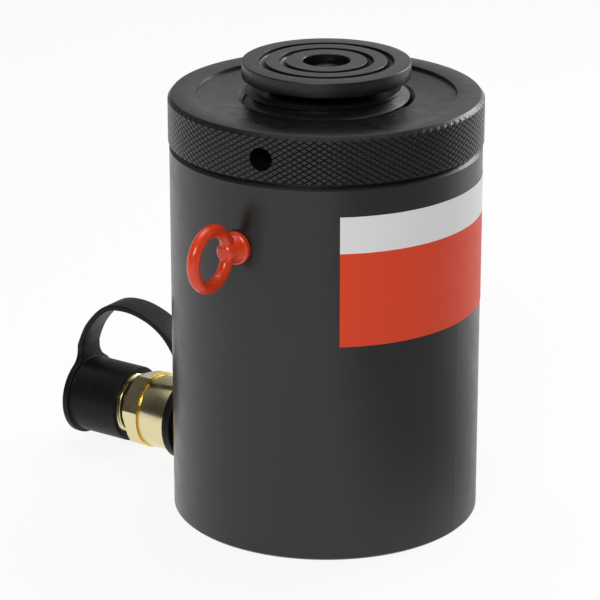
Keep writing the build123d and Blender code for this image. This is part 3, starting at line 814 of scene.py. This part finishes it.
def make_eyes():
    """A forged ring that grows out of a flared neck on a round shoulder, melted together and smoothed."""
    ring_radius = eye_outer_radius - eye_wire_radius
    reach = eye_centre.y + barrel_radius
    neck_end = abs(reach) - ring_radius
    wire_steps, ring_steps = 20, 72
    verts, faces = [], []
    for i in range(ring_steps):
        turn = tau * i / ring_steps
        for k in range(wire_steps):
            side = tau * k / wire_steps
            out = ring_radius + eye_wire_radius * cos(side)
            verts.append((eye_wire_radius * sin(side), out * cos(turn), out * sin(turn) + abs(reach)))
    for i in range(ring_steps):
        for k in range(wire_steps):
            a, b = (i + 1) % ring_steps, (k + 1) % wire_steps
            faces.append([i * wire_steps + k, a * wire_steps + k, a * wire_steps + b, i * wire_steps + b])
    nose = neck_end + eye_wire_radius + eye_nose_rise
    stem = soften(
        [
            (0, -6.0),
            (eye_shank_radius, -6.0),
            (eye_shank_radius, -0.4),
            (eye_shoulder_radius, -0.4),
            (eye_shoulder_radius, eye_shoulder_thickness),
            (eye_flare_radius, eye_shoulder_thickness + 0.35),
            (eye_neck_radius, neck_end - 1.2),
            (eye_nose_radius, nose - 1.4),
            (eye_nose_radius * 0.7, nose - 0.4),
            (0, nose),
        ],
        0.5,
        4,
        closed=False,
    )
    shape = joined((verts, faces), lathe(stem, 48, closed=False))
    for side, name in ((-1, "front"), (1, "rear")):
        place = Matrix.Translation((0, side * barrel_radius * mm, eye_centre.z * mm)) @ Matrix(
            ((1, 0, 0, 0), (0, 0, side, 0), (0, -side, 0, 0), (0, 0, 0, 1))
        )
        eye = mesh_object("lifting_eye_%s_forged" % name, *shape, place, sharp=None)
        voxel = 0.0003
        settle(
            eye,
            ("REMESH", dict(mode="VOXEL", voxel_size=voxel, use_smooth_shade=True)),
            ("SMOOTH", dict(factor=0.5, iterations=6)),
        )
        eye.data.shade_smooth()
        dress(eye, "barrel", "eye_paint", "eye_paint", "lifting_eye_" + name)


# Coupler


def make_coupler():
    """Round and hexagonal brass body, with a bare ring in the groove between the two."""
    bore = nipple_radius + 0.1
    counterbore = 11.05
    section = [
        (bore, coupler_back),
        (coupler_round_radius - coupler_back_chamfer, coupler_back),
        (coupler_round_radius, coupler_back + coupler_back_chamfer),
        (coupler_round_radius, hex_in - hex_groove_width),
        (hex_groove_radius, hex_in - hex_groove_width),
        (hex_groove_radius, hex_in),
        (hex_corner_radius - 0.2, hex_in),
        (hex_corner_radius, hex_in + 0.2),
        (hex_corner_radius, hex_out - hex_corner_chamfer),
        (hex_corner_radius - 1.4, hex_out),
        (counterbore, hex_out),
        (counterbore, hex_out - 6),
        (bore, hex_out - 6),
    ]
    coupler = mesh_object("coupler_body_hex", *lathe(soften(section, 0.12, 2), 144), coupler_place)
    corner = hex_across_flats / sqrt(3)
    turns = [radians(60 * k + hex_turn - 30) for k in range(6)]
    hexagon = [(corner * cos(turn), corner * sin(turn)) for turn in turns]
    wide = arc((0, 0), 20, 0, 360, 48)[:-1]
    tool = mesh_object("hexagon", *prism(hexagon, hex_in + 0.01, hex_out + 1), coupler_place)
    tool = cut(tool, mesh_object("round", *prism(wide, coupler_back - 1, hex_in + 0.02), coupler_place), "UNION")
    coupler = cut(coupler, tool, "INTERSECT", sharp=28.0)
    dress(coupler, "barrel", ("coupler_brass", "bare_brass"), "coupler_brass", "coupler_body")
    for face in coupler.data.polygons:
        out = -face.center.x / mm
        reach = hypot(face.center.y, face.center.z - port_height * mm) / mm
        if hex_in - hex_groove_width < out < hex_in + 0.05 and hex_groove_radius - 0.2 < reach < hex_corner_radius:
            face.material_index = 1
    return coupler


def make_spigot():
    """Spigot with the thread for the hose's nut, and the mouth that the hose's probe enters."""
    neck = spigot_radius - spigot_thread_depth - 0.05
    back = hex_out - 8
    seat = spigot_out - mouth_depth
    section = [
        (8.05, back),
        (10.9, back),
        (10.9, hex_out + 0.02),
        (neck, hex_out + 0.02),
        (neck, spigot_neck_end),
        (spigot_radius, spigot_neck_end + 0.9),
        (spigot_radius, spigot_out - 1.3),
        (spigot_radius - 1.3, spigot_out),
        (mouth_radius + 0.8, spigot_out),
        (mouth_radius, spigot_out - 0.8),
        (mouth_radius, seat),
        (valve_seat_radius, seat),
        (valve_seat_radius, seat - 3.4),
        (8.05, seat - 3.4),
    ]
    bar = threaded_bar(
        "coupler_spigot_threaded",
        spigot_radius,
        spigot_thread_depth,
        spigot_thread_pitch,
        back - 2,
        spigot_out + 2,
        0.0,
        96,
        12,
        coupler_place,
    )
    spigot = cut(bar, mesh_object("turned", *lathe(section, 96), coupler_place), "INTERSECT")
    dress(spigot, "barrel", "coupler_brass", "coupler_brass", "coupler_spigot")


# Dust cap, its ring and its strap


def make_dust_cap():
    """A blind moulding with a flange round its closed end."""
    bore = spigot_radius + 0.3
    floor = dust_out - dust_end_wall
    flange_in = dust_out - flange_thickness
    section = [
        (0, floor),
        (bore, floor),
        (bore, dust_mouth + 0.9),
        (bore + 0.6, dust_mouth),
        (dust_radius, dust_mouth),
        (dust_radius, flange_in),
        (flange_radius, flange_in),
        (flange_radius, dust_out),
        (0, dust_out),
    ]
    outline = soften(section, moulded_edge, 4, closed=False)
    cap = mesh_object("dust_cap_moulded", *lathe(outline, 128, closed=False), coupler_place)
    return dress(cap, "dust_cover", "cap_rubber", "cap_rubber", "dust_cap")


def make_strap_ring():
    hole = nipple_radius + 0.3
    section = [(hole, ring_in), (ring_radius, ring_in), (ring_radius, ring_out), (hole, ring_out)]
    ring = mesh_object("strap_ring_moulded", *lathe(soften(section, moulded_edge, 4), 128), coupler_place)
    return dress(ring, "barrel", "cap_rubber", "cap_rubber", "strap_ring")


def smooth_line(points, steps):
    """A Catmull-Rom line through points, with steps between each two."""
    points = [Vector(p) for p in points]
    points = [points[0] * 2 - points[1]] + points + [points[-1] * 2 - points[-2]]
    line = []
    for a, b, c, d in zip(points, points[1:], points[2:], points[3:]):
        for k in range(steps):
            t = k / steps
            bend = (b * 3 - a - c * 3 + d) * t**3 + (a * 2 - b * 5 + c * 4 - d) * t**2 + (c - a) * t + b * 2
            line.append(bend / 2)
    return line + [points[-2]]


def root_heights(radius):
    """Where the fillet between a disc and the strap leaves the disc, and where it meets the strap."""
    centre = sqrt((radius + strap_fillet) ** 2 - (strap_width / 2 + strap_fillet) ** 2)
    return centre * radius / (radius + strap_fillet), centre


def root_half_width(height, radius):
    """Half of the strap's width at a height over the coupler's axis, flared by the fillet at its root."""
    low, high = root_heights(radius)
    drop = high - min(high, max(low, height))
    return strap_width / 2 + strap_fillet - sqrt(strap_fillet**2 - drop**2)


def make_strap():
    """The band with its flared roots, in the shape it has while the dust cap is on."""
    start = dust_out - flange_thickness / 2
    end = (ring_in + ring_out) / 2
    start_low, start_high = root_heights(flange_radius)
    end_low, end_high = root_heights(ring_radius)
    course = [(start, port_height + start_low), (start, port_height + start_high), *strap_course]
    course += [(end + 0.9, port_height + end_high + 3.5), (end, port_height + end_high), (end, port_height + end_low)]
    line = smooth_line(course, 10)
    crest = max(range(len(line)), key=lambda i: line[i].y)
    verts, faces = [], []
    for i, spot in enumerate(line):
        along = (line[min(i + 1, len(line) - 1)] - line[max(i - 1, 0)]).normalized()
        across = Vector((-along.y, along.x))
        height = spot.y - port_height
        radius, plate = (flange_radius, flange_thickness) if i < crest else (ring_radius, ring_out - ring_in)
        half = root_half_width(height, radius)
        share = min(1.0, max(0.0, (height - radius) / strap_taper))
        thick = (plate - 2 * strap_sink) * (1 - share) / 2 + strap_thickness * share / 2
        rim = soften([(-half, -thick), (half, -thick), (half, thick), (-half, thick)], moulded_edge, 3)
        count = len(rim)
        for y, out in rim:
            place = spot + across * out
            verts.append((-place.x, y, place.y))
    for i in range(len(line) - 1):
        for k in range(count):
            n = (k + 1) % count
            faces.append([i * count + k, i * count + n, (i + 1) * count + n, (i + 1) * count + k])
    last = (len(line) - 1) * count
    faces += [list(range(count)), list(range(last, last + count))]
    strap = mesh_object("cap_strap_moulded", verts, faces, sharp=40.0)
    strap.data.materials.append(materials["cap_rubber"])
    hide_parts("cap_strap")
    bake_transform(strap)


# Label


def make_label():
    """Two-colour film with no words on it: a pale band above a coloured field."""
    half_angle = asin(label_high.y / (label_high.x if label_high.x > label_high.y else label_high.y))
    half_angle = min(half_angle, atan2(label_high.y, label_low.x))
    bottom, top = label_low.z, label_high.z
    border = top - label_white_height
    columns = 96
    heights = [bottom, bottom + 0.15, border, top - 0.15, top]
    radii = [barrel_radius + 0.02, barrel_radius + label_film]
    verts, faces, kinds = [], [], []
    for radius in radii:
        for height in heights:
            for k in range(columns + 1):
                turn = half_angle * (2 * k / columns - 1)
                verts.append((radius * cos(turn), radius * sin(turn), height))
    wide = columns + 1
    layer = wide * len(heights)
    for row in range(len(heights) - 1):
        for k in range(columns):
            a = layer + row * wide + k
            faces.append([a, a + 1, a + wide + 1, a + wide])
            kinds.append(0 if heights[row] >= border else 1)
            faces.append([a - layer, a - layer + wide, a - layer + wide + 1, a - layer + 1])
            kinds.append(0)
    for row in range(len(heights) - 1):
        for k in (0, columns):
            a = row * wide + k
            faces.append([a, a + layer, a + layer + wide, a + wide])
            kinds.append(0 if heights[row] >= border else 1)
    for row in (0, len(heights) - 1):
        for k in range(columns):
            a = row * wide + k
            faces.append([a, a + 1, a + 1 + layer, a + layer])
            kinds.append(0 if row else 1)
    mesh = bpy.data.meshes.new("label_printed")
    mesh.from_pydata([tuple(Vector(v) * mm) for v in verts], [], faces)
    for face, kind in zip(mesh.polygons, kinds):
        face.material_index = kind
    label = finish_mesh("label_printed", mesh, 30)
    return dress(label, "barrel", ("label_film", "label_colour"), "label_film", "label")


# CAD nodes that keep their shape


def dress_cad_nodes():
    """Gives each CAD node the material of its slot."""
    for part in frame["record"]["subparts"]:
        node = frame["nodes"][part["node"]]
        node.data.materials.clear()
        node.data.materials.append(materials[part["material_slot"]])


def make_floor():
    """A wide white floor that keeps the object's shadow."""
    half = 6.0
    corners = [(-half, -half, 0), (half, -half, 0), (half, half, 0), (-half, half, 0)]
    mesh = bpy.data.meshes.new("floor")
    mesh.from_pydata(corners, [], [(0, 1, 2, 3)])
    floor = bpy.data.objects.new("floor", mesh)
    bpy.context.scene.collection.objects.link(floor)
    paint = Paint("floor", (0.88, 0.88, 0.88), 0.9, Specular_IOR_Level=0.1)
    paint.tint(paint.spread(paint.noise(600, 2), 0, 1), (0.86, 0.86, 0.86))
    path = paint.node("ShaderNodeLightPath")
    metal = paint.node(
        "ShaderNodeMath",
        [(0, path.outputs["Is Glossy Ray"]), (1, path.outputs["Is Transmission Ray"])],
        operation="MAXIMUM",
    )
    turn = radians(camera_turn)
    rightward = paint.along((cos(turn), sin(turn), 0))
    backward = paint.along((-sin(turn), cos(turn), 0))
    darker = paint.spread(rightward, 0, floor_dark_share, 0.02, 0.14)
    front = paint.spread(backward, 1, 0, -0.02, 0.16)
    dark = paint.node("ShaderNodeMath", [(0, darker), (1, front)], operation="MULTIPLY")
    strength = paint.node("ShaderNodeMath", [(0, 1.0), (1, dark.outputs[0])], operation="SUBTRACT")
    in_metal = paint.node("ShaderNodeMath", [(0, metal.outputs[0]), (1, floor_glow_in_metal)], operation="MULTIPLY")
    share = paint.node(
        "ShaderNodeMath",
        [(0, path.outputs["Is Camera Ray"]), (1, floor_glow), (2, in_metal.outputs[0])],
        operation="MULTIPLY_ADD",
    )
    seen = paint.node("ShaderNodeMath", [(0, strength.outputs[0]), (1, path.outputs["Is Camera Ray"])], operation="MAXIMUM")
    glow = paint.node("ShaderNodeEmission", [("Strength", seen.outputs[0])])
    mix = paint.node(
        "ShaderNodeMixShader", [(0, share.outputs[0]), (1, paint.shader.outputs[0]), (2, glow.outputs[0])]
    )
    paint.tree.links.new(mix.outputs[0], paint.tree.nodes["Material Output"].inputs["Surface"])
    mesh.materials.append(paint.material)


bpy.context.scene.view_settings.view_transform = "Standard"
make_camera()
make_lights()
make_world()
make_floor()
materials = make_materials()
dress_cad_nodes()
make_collar()
make_plunger()
make_cap()
make_screw()
make_eyes()
make_coupler()
make_spigot()
make_dust_cap()
make_strap_ring()
make_strap()
make_label()
